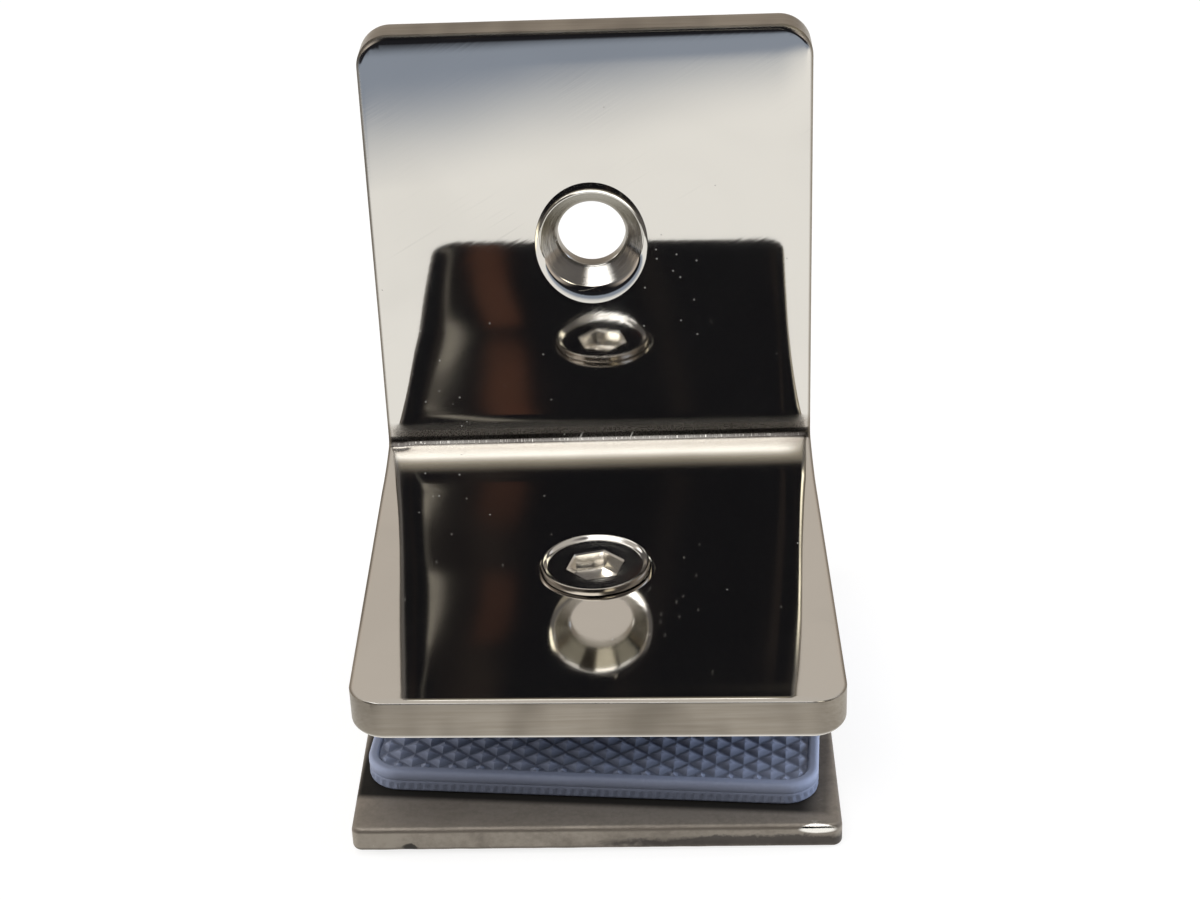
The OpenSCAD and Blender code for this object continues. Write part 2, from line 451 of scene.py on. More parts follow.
def build_bracket(size, finish):
    """The polished bracket: one bent sheet with two countersunk holes."""
    shell = Shell()
    lo, hi = BRACKET_LO / MM, BRACKET_HI / MM
    half, thick, edge, fall = hi.x, size.sheet, size.edge, size.edge_drop
    fold = Fold(lo.y, hi.z, lo.z + thick, hi.y - thick, size.bend)
    screw_at, wall_at = SCREW_Y - lo.y, fold.end - fold.wall_z
    bore, sink = size.bore / 2, size.countersink / 2
    back_edge, back_bevel = 0.45, 0.25
    back_bore = bore + back_bevel
    # Polishing rolls the edges off, leans the wall leg's left side back, swells its top and
    # leaves low ripples; the left edge has one chip in the bend
    roll, roll_reach, lean, swell, ripple, chip = 0.10, 3.4, 0.10, 0.28, 0.003, 0.16
    # Each hole's place, its lip's middle and reach across and along, its cone's radius and depth
    lips = (
        (screw_at, screw_at, size.seat_lip, size.seat_lip, sink - 0.05, 0.14),
        (wall_at, wall_at - 0.2, size.lip_across, size.lip_along - 0.2, sink - 0.2, size.lip_depth))

    def oval(lip, grown=1.0):
        """A line round a hole, in shares of its lip: 1 on the lip's outer line."""
        return [(x * lip[2] * grown, lip[1] + y * lip[3] * grown) for x, y in circle(1.0)]

    def off_lips(x, s, grown):
        return all(hypot(x / lip[2], (s - lip[1]) / lip[3]) > grown for lip in lips)

    def off_holes(x, s, radius):
        return all(hypot(x, s - lip[0]) > radius for lip in lips)

    def gap(x, s):
        return edge_gap(x, s, half, 0, fold.length, size.corner)

    def drop(x, s):
        """How far polishing has taken the inside face down."""
        inside = gap(x, s)
        low = roll * max(0.0, 1 - inside / roll_reach) ** 2 * (0.08 + 0.92 * ease(s / 5))
        if s > fold.end:
            z = fold.wall_z + s - fold.end
            low += lean * (max(0.0, -x - 4) / 18.5) ** 2 * ease((z + 19) / 12)
            low -= swell * ease((z + 10) / 17)
        wave = noise.noise((x / 13, s / 13, 0.4)) + 0.5 * noise.noise((x / 6, s / 6, 2.1))
        knock = exp(-((x + half - 1.3) / 0.8) ** 2 - ((s - fold.end + 1.9) / 0.45) ** 2)
        return low + ripple * wave * ease(inside / 4) + chip * knock

    def grain(s):
        """Where the polishing wheel has not reached into the bend."""
        return ease((fold.turned(s) - 0.40) / 0.07) * ease(1.1 - (s - fold.end) / 0.9)

    def pitted_crease_shade(s):
        """Where the tight corner of the bend carries pits and a painted shade in its crease."""
        start, end = fold.start + fold.front_tail, fold.end - fold.wall_tail
        return ease((s - start + 0.12) / 0.16) * ease((end - s + 0.25) / 0.2)

    def haze(s):
        """Where the polish is cloudy on the way into the bend."""
        return ease((s - fold.start) / 7.0) * (1 - grain(s)) * ease((fold.end + 0.5 - s) / 1.0)

    coats = {"grain": grain, "pitted_crease_shade": pitted_crease_shade, "haze": haze}

    def put(x, s, n=0.0):
        return fold.put(x, s, n + drop(x, s) * max(0.0, 1 - n / 1.4))

    def lay(flat, depth, **weights):
        """A ring at one depth; next to the inside face it takes the bend's coats too."""
        face = 1.0 if depth < 0.3 else 0.0
        bend = {name: [face * coat(s) for _, s in flat] for name, coat in coats.items()}
        return shell.ring([put(x, s, depth) for x, s in flat], **bend, **weights)

    fine, bend_fine = 0.5, 0.12
    columns = steps(-half, half, fine)
    bend_rows = steps(fold.start, fold.end, bend_fine)
    rows = steps(0, fold.start, fine)[:-1] + bend_rows + steps(fold.end, fold.length, fine)[1:]
    # The glass leg's front edge is crisp, so the outline moves in less there
    outline, crisp = [], 0.93
    for x, s, nx, ns in round_outline(columns, rows, size.corner):
        give = 1 - crisp * min(0.0, ns) ** 2
        outline.append((x, s, nx * give, ns * give))

    # The edge from face to back, as inset, depth and share of the rim's finish
    section = [(edge * (1 - t) + 0.06, fall * t * t, t * t) for t in (k / 8 for k in range(9))]
    section += [(0.0, fall + 0.02, 1.0)] + [(0.0, thick * k / 6, 1.0) for k in (2, 3, 4)]
    section += [(inset, thick - low, k / 4)
                for k, (inset, low) in reversed(list(enumerate(rounding(back_edge, 4))))]
    rings = shell.chain([lay(shrunk(outline, inset), depth, rim=share)
                         for inset, depth, share in section])

    front_loops, back_loops = [], []
    for lip in lips:
        at, middle, across, along, crease, deep = lip
        hole_rings = []
        for share in (k / 16 for k in range(17)):
            rx, rs = across + (crease - across) * share, along + (crease - along) * share
            # The lip falls later above the hole than below it
            high = 0.29 * share + 0.71 * share ** 8
            low = 0.44 * share + 0.34 * share ** 2 + 0.22 * share ** 6
            hole_rings.append(shell.ring([
                put(x * rx, middle + (at - middle) * share + y * rs,
                    deep * (low + (high - low) * ease(y + 0.5))) for x, y in circle(1.0)]))
        cone_end = deep + crease - bore
        wall = [(r, deep + crease - r, 0.0, 1.0) for r in
                (crease - 0.03, crease - 0.4, (crease + bore) / 2, bore + 0.4, bore + 0.06)]
        wall += [(bore, cone_end + 0.06, 0.7, 0.4), (bore, (cone_end + thick) / 2, 0.7, 0.0),
                 (bore, thick - back_bevel, 0.7, 0.0), (back_bore, thick, 0.3, 0.0)]
        hole_rings += [lay(circle(r, at), depth, rim=rim, cone=cone)
                       for r, depth, rim, cone in wall]
        shell.chain(hole_rings)
        front_loops.append((hole_rings[0], oval(lip)))
        back_loops.append((hole_rings[-1], circle(back_bore, at)))

    inner = [spot for lip in lips for grown in (1.007, 1.05, 1.11, 1.18, 1.26, 1.35)
             for spot in oval(lip, grown)]
    inner += [(x, s) for s in rows for x in columns
              if gap(x, s) > edge + 0.15 and off_lips(x, s, 1.41)]
    added = shell.fill([(rings[0], shrunk(outline, section[0][0])), *front_loops], inner, put,
                       lambda x, s: off_lips(x, s, 1 - LEEWAY))
    for name, coat in coats.items():
        shell.weigh(name, added, [coat(s) for _, s in inner])
    coarse = {(x, s) for s in rows[::3] + bend_rows[::2] for x in columns[::4]
              if gap(x, s) > back_edge + 0.4 and off_holes(x, s, bore + 0.7)}
    shell.fill([(rings[-1], shrunk(outline, back_edge)), *back_loops], sorted(coarse),
               lambda x, s: fold.put(x, s, thick), lambda x, s: off_holes(x, s, back_bore - LEEWAY))
    shell.piece("bracket_polished", polished_steel(finish), "bracket", "bracket")


def build_screw(size, finish):
    """The clamp screw: a low cupped head with a hexagon socket, and a thread down to its tip."""
    shell = Shell()
    face = BRACKET_LO.z / MM + size.sheet
    head, shank, flat_half = size.head / 2, size.thread / 2, size.key / 2 - 0.08
    turn, count = radians(15), 96

    def spin(radius, height, **weights):
        """A ring whose radius may change with the angle."""
        points = []
        for a in (turn + tau * k / count for k in range(count)):
            r = radius(a) if callable(radius) else radius
            points.append((r * cos(a), SCREW_Y + r * sin(a), face + height))
        return shell.ring(points, **weights)

    def hexagon(a):
        return flat_half / cos((a - turn) % (pi / 3) - pi / 6)

    # Height of the head's flat, and the socket's depth and bevel
    land, deep, bevel = 0.26, 2.0, 0.14
    floor = land - deep
    socket = [(0.7, floor - 0.34), (1.7, floor - 0.20), (lambda a: hexagon(a) * 0.93, floor),
              (lambda a: hexagon(a) * 0.985, floor + 0.05), (hexagon, floor + 0.2),
              (hexagon, land - 0.35), (hexagon, land - 0.16)]
    rings = [spin(r, z, socket=1) for r, z in socket]
    rings += [spin(lambda a, wide=wide: hexagon(a) + wide, z)
              for wide, z in ((0.02, land - 0.13), (bevel, land))]
    shell.fan(rings[0], (0, SCREW_Y, face + floor - 0.36))
    rings += [spin(lambda a, t=t: (1 - t) * (hexagon(a) + bevel) + t * 3.4, land + 0.012 * t)
              for t in (0.5, 1.0)]
    # The cup and its rim, as radius and height over the flat
    cup = [(r, 0.04 * (r - 3.1)) for r in (3.8, 4.3)] + [
        (4.55, 0.058), (4.60, 0.062), (4.66, 0.075), (4.74, 0.115), (4.84, 0.19), (4.94, 0.27),
        (5.03, 0.335), (5.10, 0.37), (5.15, 0.38), (head - 0.10, 0.38), (head - 0.04, 0.36),
        (head - 0.01, 0.32), (head, 0.26)]
    rings += [spin(r, land + z, side=ease((r - 5.14) / 0.1)) for r, z in cup]
    rim_z = -0.03
    cone_z = rim_z - (head - shank)
    rings += [spin(head, 0.1, side=1), spin(head, rim_z, side=1),
              spin(head - 0.08, rim_z - 0.08, side=1),
              spin((head + shank) / 2, (rim_z + cone_z) / 2), spin(shank + 0.1, cone_z + 0.1)]
    depth, crest, tip_bevel, end = 0.56, 0.12, 0.7, (SCREW_LO / MM).z - face

    def groove(a, z):
        """The thread's radius, which runs out under the cone and is bevelled at the tip."""
        wave = abs(((z / size.pitch - a / tau) % 1.0) * 2 - 1)
        cut = depth * (1 - min(1.0, max(0.0, (wave - crest) / (1 - 2 * crest))))
        cut *= ease((cone_z - 0.3 - z) / 1.1)
        return min(shank - cut, shank - tip_bevel + (z - end))

    for z in steps(cone_z, end + 0.02, -0.085):
        rings.append(spin(lambda a, z=z: groove(a, z), z, thread=ease((cone_z - z) / 0.5)))
    shell.chain(rings)
    shell.fan(rings[-1], (0, SCREW_Y, face + end))
    steel = screw_steel(finish)
    shell.piece("clamp_screw_turned", steel, "screw", "clamp_screw", 28)


def build_pad(size, material, name, body, node, box, way, turn, trim=0.0):
    """One rubber pad: a ribbed side, and a smooth border round a field of diamonds for the glass.
    box is the CAD pad's box, way is 1 where the field looks up, and trim is cut off its front."""
    shell = Shell()
    lo, hi = box[0] / MM, box[1] / MM
    middle = (lo + hi) / 2
    under, thick = lo.z if way > 0 else hi.z, hi.z - lo.z
    half, deep = size.pad_width / 2, (size.pad_depth - trim) / 2
    edge, border, hole, bevel = 0.4, size.pad_border, 4.1, 0.15
    shift = middle.y - SCREW_Y + trim / 2
    sine, cosine = sin(turn), cos(turn)
    # Depth of the field, and width of the slope down to it
    sunk, slope = 0.30, 0.12
    field, floor = border + slope, thick - sunk

    def put(x, y, z):
        """Turns the pad about its hole; z counts from its back."""
        x, y = middle.x + cosine * x - sine * y, SCREW_Y + sine * x + cosine * y
        hang = -TILT * x if way > 0 else twist(x, y) * (1 - z / thick)
        return x, y, under + way * z + hang

    def gap(x, y):
        return edge_gap(x, y - shift, half, -deep, deep, size.pad_corner)

    fine = 0.2
    outline = [(x, y + shift, nx, ny) for x, y, nx, ny in round_outline(
        steps(-half, half, fine), steps(-deep, deep, fine), size.pad_corner, turns=26)]

    def ribs(z):
        """How far each point of the side lies in, at height z: a row of low ribs under a groove."""
        band = ease((z - 0.15) / 0.35) * ease((thick * 0.46 - z) / 0.25)
        return [0.055 * band * (1 - cos(tau * k / 4)) for k in range(len(outline))]

    # The side from back to field, as inset, height and share of the border's finish
    section = [(inset, low, 0.0) for inset, low in rounding(edge, 5)]
    section += [(0.0, thick * 0.26, 0.0), (0.0, thick * 0.38, 0.0), (0.03, thick * 0.46, 0.0),
                (0.08, thick * 0.52, 0.0), (0.03, thick * 0.58, 0.1), (0.0, thick * 0.66, 0.3)]
    section += [(inset, thick - low, 1.0) for inset, low in reversed(rounding(edge, 5))]
    section += [(border * 0.6, thick, 1.0), (border - slope, thick - 0.01, 0.9),
                (border, thick - 0.07, 0.6), (field, floor, 0.0)]
    rings = shell.chain([
        shell.ring([put(x - nx * (inset + rib), y - ny * (inset + rib), z)
                    for (x, y, nx, ny), rib in zip(outline, ribs(z))], border=share)
        for inset, z, share in section])

    back_mouth, mouth = hole + bevel, hole + slope
    hole_rings = shell.chain([
        shell.ring([put(x, y, z) for x, y in circle(r, count=ROUND)]) for r, z in
        ((back_mouth, 0.0), (hole, bevel), (hole, floor - slope), (mouth, floor))])
    back = [(rings[0], shrunk(outline, edge)), (hole_rings[0], circle(back_mouth, count=ROUND))]
    shell.fill(back, [], None, lambda x, y: hypot(x, y) > back_mouth - LEEWAY)

    # The grooves' spacing, where a diamond's slope starts and ends, its rise and its breadth
    space, starts, ends, rise, broad = size.diamond, 0.05, 0.40, 0.27, 1.14

    def height(x, y):
        """The diamonds' height over the field's floor, as a share of their rise."""
        tall = 1.0
        for across in (x / broad + y, x / broad - y):
            off = abs((across / sqrt(2) / space + 0.5) % 1.0 - 0.5)
            tall = min(tall, max(0.0, (off - starts) / (ends - starts)))
        return tall * ease((gap(x, y) - field) / 0.2) * ease((hypot(x, y) - mouth) / 0.4)

    reach = ceil((half + deep) / space / sqrt(2)) + 1
    halfway = (starts + ends) / 2
    inner = []
    for offsets in ((-starts, starts, ends, 1 - ends), (-halfway, halfway)):
        stations = [k + off for k in range(-reach, reach + 1) for off in offsets]
        spots = [((a + b) * space * broad / sqrt(2), (a - b) * space / sqrt(2))
                 for a in stations for b in stations]
        inner += [(x, y) for x, y in spots if gap(x, y) > field + 0.06 and hypot(x, y) > hole + 0.2]
    added = shell.fill(
        [(rings[-1], shrunk(outline, field)), (hole_rings[-1], circle(mouth, count=ROUND))], inner,
        lambda x, y: put(x, y, floor + rise * height(x, y)),
        lambda x, y: hypot(x, y) > mouth - LEEWAY)
    shell.weigh("tip", added, [height(x, y) for x, y in inner])
    shell.piece(name, material, body, node, 24)


def build_plate(size, finish):
    """The loose clamp plate: a dull sheet with a hole for the screw and a knocked front edge."""
    shell = Shell()
    lo, hi = PLATE_LO / MM, PLATE_HI / MM
    half, thick, edge = hi.x, hi.z - lo.z, size.plate_edge
    fine = 0.6
    columns, rows = steps(-half, half, fine), steps(lo.y, hi.y, fine)
    outline = round_outline(columns, rows, size.plate_corner, turns=8)
    # Each knock's place across, width, depth and share of the plate's thickness
    knocks = ((-17.2, 0.65, 0.28, 0.30), (-3.0, 0.9, 0.10, 0.55), (5.5, 2.4, 0.13, 0.42),
              (11.0, 3.2, 0.20, 0.36), (17.0, 2.6, 0.14, 0.33), (-10.5, 0.5, 0.09, 0.7))
    # The top lies a hair under the pad's back
    hair = 0.004

    def knocked(x, y, z):
        """How far knocks have pushed the front edge in."""
        if y > lo.y + 1.5:
            return 0.0
        share = (z - lo.z) / thick
        dent = sum(deep * exp(-((x - at) / wide) ** 2 - ((share - high) / 0.16) ** 2)
                   for at, wide, deep, high in knocks)
        return dent + 0.035 * noise.noise((x / 1.7, share * 2, 5.0))

    def put(x, y, z):
        uneven = 0.012 * noise.noise((x / 5, y / 5, z))
        level = min(hi.z - hair, max(lo.z, z - abs(uneven)))
        return x, y + knocked(x, y, z), level - TILT * x

    section = rounding(edge, 5) + [(0.0, thick * t) for t in (0.3, 0.4, 0.5, 0.6, 0.7)]
    section += [(inset, thick - low) for inset, low in reversed(rounding(edge, 5))]
    rings = shell.chain([
        shell.ring([put(x, y, lo.z + z) for x, y in shrunk(outline, inset)],
                   rim=min(1.0, min(z, thick - z) / edge)) for inset, z in section])
    bore, bevel = size.thread / 2 + 0.05, 0.3
    mouth = bore + bevel
    hole_rings = shell.chain([
        shell.ring([(x, y, lo.z + z) for x, y in circle(r, SCREW_Y, ROUND)]) for r, z in
        ((mouth, 0.0), (bore, bevel), (bore, thick - bevel), (mouth, thick - hair))])
    inner = [(x, y) for x in columns[::2] for y in rows[::2]
             if edge_gap(x, y, half, lo.y, hi.y, size.plate_corner) > edge + 0.3
             and hypot(x, y - SCREW_Y) > bore + 0.9]
    hole_line = circle(mouth, SCREW_Y, ROUND)
    for end, level in ((0, lo.z), (-1, hi.z)):
        shell.fill([(rings[end], shrunk(outline, edge)), (hole_rings[end], hole_line)], inner,
                   lambda x, y, level=level: put(x, y, level),
                   lambda x, y: hypot(x, y - SCREW_Y) > mouth - LEEWAY)
    steel = plate_steel(finish, size)
    shell.piece("clamp_plate_dull", steel, "clamp", "clamp_plate")


def polished_steel(finish):
    """Mirror-polished steel with hairlines, dust, satin rims, turned cones and a grainy bend, with
    painted shade in the bend's crease and on the top of the wall hole's cone.
    """
    tree = Tree(bpy.data.materials.new("polished_steel"))
    _, x, y, z = tree.place()
    along = z - y
    flat = tree.point(x, along)
    rim, cone, grain, pitted_crease_shade, haze = tree.weights("rim", "cone", "grain", "pitted_crease_shade", "haze")
    pits = tree.noise(flat, 7.0, 3.0, 0.75)
    satin = grain * pits.ramp(0.15, 0.60)
    # Hairlines run aslant and lie in patches
    slant = radians(32)
    run = x * cos(slant) + along * sin(slant)
    across = along * cos(slant) - x * sin(slant)
    lines = tree.noise(tree.point(run * 0.05, across * 2.4), 1.0, 3.0, 0.65)
    patch = tree.noise(flat, 0.09, 2.0).ramp(0.42, 0.68)
    hair = (lines - 0.5) * (patch * 0.8 + 0.2)
    smear = tree.noise(flat, 0.22, 3.0, 0.6, 0.6)
    # Dust lies thickest below the wall hole, to its right
    near = tree.node("ShaderNodeTexVoronoi", {"feature": "F1", "voronoi_dimensions": "2D"},
                     {"Vector": flat, "Scale": 0.55}, out="Distance")
    lot = tree.parts(Value(tree, near.socket.node.outputs["Color"]))[0]
    dusty = ((x - 8.5) ** 2.0 + (z + 5.2) ** 2.0).ramp(50.0, 10.0) * (y > -8.0)
    speck = near.ramp(0.055, 0.030) * (lot > 0.975 - dusty * 0.45) * (1.0 - rim)
    # Two short slanting knocks over the bend
    slip = x - (z + 22.0) * 0.5
    knocks = abs(slip + 1.7).ramp(0.14, 0.04) + abs(slip - 3.7).ramp(0.12, 0.04)
    knocks = knocks * (y > -6.5) * z.ramp(-22.9, -22.6) * z.ramp(-21.9, -22.3)
    cloudy = tree.noise(flat, 0.05, 2.0, 0.5, 0.8).ramp(0.40, 0.70)
    turned = tree.noise(tree.point((x * x + z * z) ** 0.5 * 16.0), 1.0, 2.0, 0.7)
    streaks = tree.noise(tree.point(x * 0.08, along * 0.9, (z + y) * 2.2), 1.6, 3.0, 0.6)
    stain = tree.noise(tree.point(x, along * 0.4), 0.10, 2.0, 0.6).ramp(0.42, 0.62)
    edging = rim.ramp(0.25, 0.85)
    crease_shade_tone, cut, painted_cone_shade = (0.05, 0.045, 0.042), (0.40, 0.38, 0.35), (0.17, 0.155, 0.115)
    base = tree.coats(
        # The bend's crease is painted near black over its pits: painted shade
        finish.polish, (satin * 0.75, finish.satin), (pitted_crease_shade * pits.ramp(0.18, 0.46), crease_shade_tone),
        (cloudy * 0.2 + hair.ramp(0.05, 0.25) * 0.45, finish.polish * 0.78),
        # The upper part of the wall hole's cone is painted darker: painted shade
        (cone * 0.55, cut), (cone * z.ramp(0.3, 2.2) * 0.9, painted_cone_shade),
        (edging * (0.75 + 0.25 * streaks), finish.rim), (edging * stain * 0.55, finish.rim * 0.45))
    rough = (0.026 + smear * 0.026 + satin * 0.26 + haze * 0.13
             + rim.ramp(0.05, 0.8) * (0.24 + 0.2 * streaks) + cone * 0.08)
    height = (hair * 0.28 + (pits - 0.5) * grain * 3.5 + (streaks - 0.5) * rim * 1.5
              + (turned - 0.5) * cone * 5.0)
    steel = tree.skin(base, 1.0, rough.least(0.6), tree.bump(height, 0.10, 0.05))
    dust = tree.matt((0.62, 0.61, 0.58))
    return tree.surface(tree.blend((speck * 0.8 + knocks * 0.55).least(1.0), steel, dust))


def screw_steel(finish):
    """Bright turned steel with fine turning rings on the head and a greyer thread, with painted
    shade on the head's side and a painted highlight in the socket.
    """
    tree = Tree(bpy.data.materials.new("screw_steel"))
    point, x, y, z = tree.place()
    thread, socket, flank = tree.weights("thread", "socket", "side")
    off = y - SCREW_Y
    reach = (x * x + off * off) ** 0.5
    rings = tree.noise(tree.point(reach * 9.0, z * 2.0), 1.0, 2.0, 0.6)
    smear = tree.noise(point, 0.9, 3.0, 0.6)
    dents = tree.noise(point, 0.8, 1.0, 0.4)
    # The head's side is painted darker as painted shade, and the socket paler as a painted
    # highlight
    grey, smeared, shaded, painted_highlight = (
        (0.42, 0.40, 0.37), (0.40, 0.38, 0.35), (0.20, 0.17, 0.14), (0.88, 0.86, 0.82))
    base = tree.coats(
        finish.screw, (thread * 0.6, grey), (smear.ramp(0.55, 0.8) * 0.25, smeared),
        (flank * 0.8, shaded), (socket * 0.9, painted_highlight))
    rough = 0.05 + smear * 0.05 + thread * 0.22 + socket * 0.06 + flank * 0.08
    normal = tree.bump(rings + socket * dents * 26.0, 0.035, 0.05)
    return tree.surface(tree.skin(base, 1.0, rough, normal))


def plate_steel(finish, size):
    """Dull rolled steel with brown blotches, rubbed rims and scratches, a painted contact shadow
    along the pad, and painted shade and a painted highlight on its edges.
    """
    tree = Tree(bpy.data.materials.new("plate_steel"))
    point, x, y, z = tree.place()
    [rim] = tree.weights("rim")
    blotch = tree.noise(tree.point(x * 0.6, y, z), 0.30, 4.0, 0.60, 0.4)
    fine = tree.noise(point, 2.3, 3.0, 0.6)
    rolled = tree.noise(tree.point(x * 0.10, y * 2.2, z * 2.2), 1.0, 2.0, 0.6)
    scratch = tree.noise(tree.point(x * 0.5 + y * 0.3, y * 4.0 - x * 2.0, z), 1.0, 2.0, 0.7)
    scratch = scratch.ramp(0.70, 0.78)
    lo, hi = (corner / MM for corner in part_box("lower_pad"))
    middle = (lo + hi) / 2
    off_x, off_y, sine, cosine = x - middle.x, y - middle.y, sin(size.turn), cos(size.turn)
    side = abs(off_x * cosine + off_y * sine) - size.pad_width / 2
    end = abs(off_y * cosine - off_x * sine) - size.pad_depth / 2
    # Heights count down from the plate's top, which hangs to the right
    level = z + x * TILT - PLATE_HI.z / MM
    # A painted contact shadow: near-black matt on the top round the lower pad, half as strong at
    # the right end
    contact_shadow = side.most(end).ramp(1.5, 0.5) * level.ramp(-0.7, -0.3) * (1.0 - rim)
    contact_shadow = contact_shadow * (1.0 - x.ramp(18.5, 21.0) * 0.5)
    ragged = (fine - 0.5) * 0.9
    dark = (blotch * 0.7 + fine * 0.3).ramp(0.36, 0.70)
    # The front edge is darker low on the right; its one nick is painted black as painted shade in
    # the dent, and its one rubbed spot is smoother with a painted highlight
    front = y < PLATE_LO.y / MM + 0.8
    dark_low_right = rim * (x + (blotch - 0.5) * 20.0).ramp(1.0, 6.0) * front
    dark_low_right = dark_low_right * (level + ragged * 0.6).ramp(-2.45, -2.1)
    dark_low_right = dark_low_right * (level + ragged + (blotch - 0.5) * 2.0).ramp(-0.9, -1.5)
    nick_shade = ((x + 17.2 + ragged) / 0.8) ** 2.0 + ((level + 2.15 + ragged * 0.4) / 0.4) ** 2.0
    nick_shade = nick_shade.ramp(1.3, 0.5) * front
    rubbed_and_painted_light = ((x - 20.2) / 1.7) ** 2.0 + ((level + 0.45 + ragged * 0.12) / 0.42) ** 2.0
    rubbed_and_painted_light = rubbed_and_painted_light.ramp(1.25, 0.55) * front
    bare, scored, painted_highlight = (0.50, 0.46, 0.40), (0.60, 0.57, 0.52), (0.92, 0.91, 0.88)
    near_black, black, painted_shadow_black = (0.035, 0.03, 0.03), (0.02, 0.018, 0.018), (0.010, 0.010, 0.010)
    base = tree.coats(
        finish.plate, (dark * 0.66, finish.stain), (rim * 0.28 * (1.0 - dark * 0.6), bare),
        # The middle of each rounded edge takes the stain colour: painted shade where the rounding
        # would catch light
        (rim * (1.0 - rim) * 3.4, finish.stain), (scratch * 0.25, scored), (dark_low_right * 0.85, near_black),
        (nick_shade * 0.9, black), (rubbed_and_painted_light, painted_highlight))
    metallic = (0.55 - dark * 0.1 + rubbed_and_painted_light).least(1.0)
    rough = 0.46 + dark * 0.12 + (fine - 0.5) * 0.15 - rubbed_and_painted_light * 0.34
    normal = tree.bump(fine * 0.8 + rolled * 0.6 - scratch * 0.5 + blotch, 0.25, 0.06)
    steel = tree.skin(base, metallic, rough, normal)
    return tree.surface(tree.blend(contact_shadow * 0.93, steel, tree.matt(painted_shadow_black)))


def pad_rubber(finish):
    """Matt blue-grey rubber, paler on its diamonds' tips and in dust, with painted light on its
    border and its two ends.
    """
    tree = Tree(bpy.data.materials.new("pad_rubber"))
    point, x, _, _ = tree.place()
    border, tip = tree.weights("border", "tip")
    cloud = tree.noise(point, 0.18, 3.0, 0.6)
    pores = tree.noise(point, 6.0, 3.0, 0.7)
    dust = tree.noise(point, 1.3, 4.0, 0.7).ramp(0.50, 0.78)
    # The two ends are paler as painted light from the sides, and the border paler as a painted
    # highlight
    painted_end_light = (abs(x) + (cloud - 0.5) * 6.0).ramp(8.0, 20.0)
    rubbed_and_painted_light = border * 0.42 + tip.ramp(0.3, 1.0) * 0.5 + dust * 0.15 + painted_end_light * 0.32
    base = tree.coats(finish.rubber, (cloud.ramp(0.3, 0.7) * 0.35, finish.rubber * 0.78),
                      (rubbed_and_painted_light.least(1.0), finish.rubber * 1.9))
    rough = 0.50 + pores * 0.16 - border * 0.05
    normal = tree.bump(pores * 0.5 + dust * 0.2, 0.30, 0.05)
    return tree.surface(tree.skin(base, 0.0, rough, normal, specular=0.45))


class ClampOperator:
    """The options, sizes and finishes that the clamp's operators share."""

    bl_options = {"REGISTER", "UNDO"}

    def settings(self, context):
        return InMillimetres(context.scene.glass_clamp_sizes), context.scene.glass_clamp_finish


class GLASSCLAMP_OT_bracket(ClampOperator, bpy.types.Operator):
    """Build the polished bracket with its two countersunk holes"""

    bl_idname = "glassclamp.bracket"
    bl_label = "Bracket"

    def execute(self, context):
        build_bracket(*self.settings(context))
        return {"FINISHED"}


class GLASSCLAMP_OT_screw(ClampOperator, bpy.types.Operator):
    """Build the clamp screw with its socket and thread"""

    bl_idname = "glassclamp.screw"
    bl_label = "Clamp screw"

    def execute(self, context):
        build_screw(*self.settings(context))
        return {"FINISHED"}


class GLASSCLAMP_OT_pads(ClampOperator, bpy.types.Operator):
    """Build the two rubber pads with their diamond fields"""

    bl_idname = "glassclamp.pads"
    bl_label = "Rubber pads"

    def execute(self, context):
        size, finish = self.settings(context)
        rubber = pad_rubber(finish)
        build_pad(size, rubber, "upper_pad_rubber", "bracket", "upper_pad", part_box("upper_pad"),
                  -1, 0.0, UPPER_PAD_TRIM)
        build_pad(size, rubber, "lower_pad_rubber", "clamp", "lower_pad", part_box("lower_pad"),
                  1, size.turn)
        return {"FINISHED"}


class GLASSCLAMP_OT_plate(ClampOperator, bpy.types.Operator):
    """Build the loose clamp plate"""

    bl_idname = "glassclamp.plate"
    bl_label = "Clamp plate"

    def execute(self, context):
        build_plate(*self.settings(context))
        return {"FINISHED"}


def stage_floor(finish):
    """A plain pale floor that keeps the clamp's shadow; out in front it is a blue-grey table."""
    ground, half = PLATE_LO.z - 0.25 * MM, 3
    mesh = bpy.data.meshes.new("floor")
    corners = [(-half, -half), (half, -half), (half, half), (-half, half)]
    mesh.from_pydata([(x, y, ground) for x, y in corners], [], [(0, 1, 2, 3)])
    tree = Tree(bpy.data.materials.new("floor"))
    point, x, y, _ = tree.place()
    drift = tree.noise(point, 0.012, 2.0)
    reach = y + (drift - 0.5) * 26.0 + x * 0.5
    cream, table, beyond = (1.0, 0.98, 0.935), (0.30, 0.34, 0.41), (0.015, 0.015, 0.018)
    camera = tree.ray("Camera").most(tree.ray("Transmission"))
    seen = tree.coats(cream, (reach.ramp(-132.0, -192.0), table),
                      (reach.ramp(-225.0, -290.0), beyond), (camera, finish.floor))
    shade, catch = tree.matt((0.55, 0.55, 0.55)), tree.matt((0.30, 0.30, 0.30))
    lit = tree.node("ShaderNodeAddShader", inputs={
        0: catch, 1: tree.light("ShaderNodeEmission", seen, 0.78)})
    mirrored = tree.light("ShaderNodeEmission", seen)
    shown = tree.blend(tree.ray("Glossy"), tree.blend(camera, shade, lit), mirrored)
    mesh.materials.append(tree.surface(shown))
    floor = linked("floor", mesh)


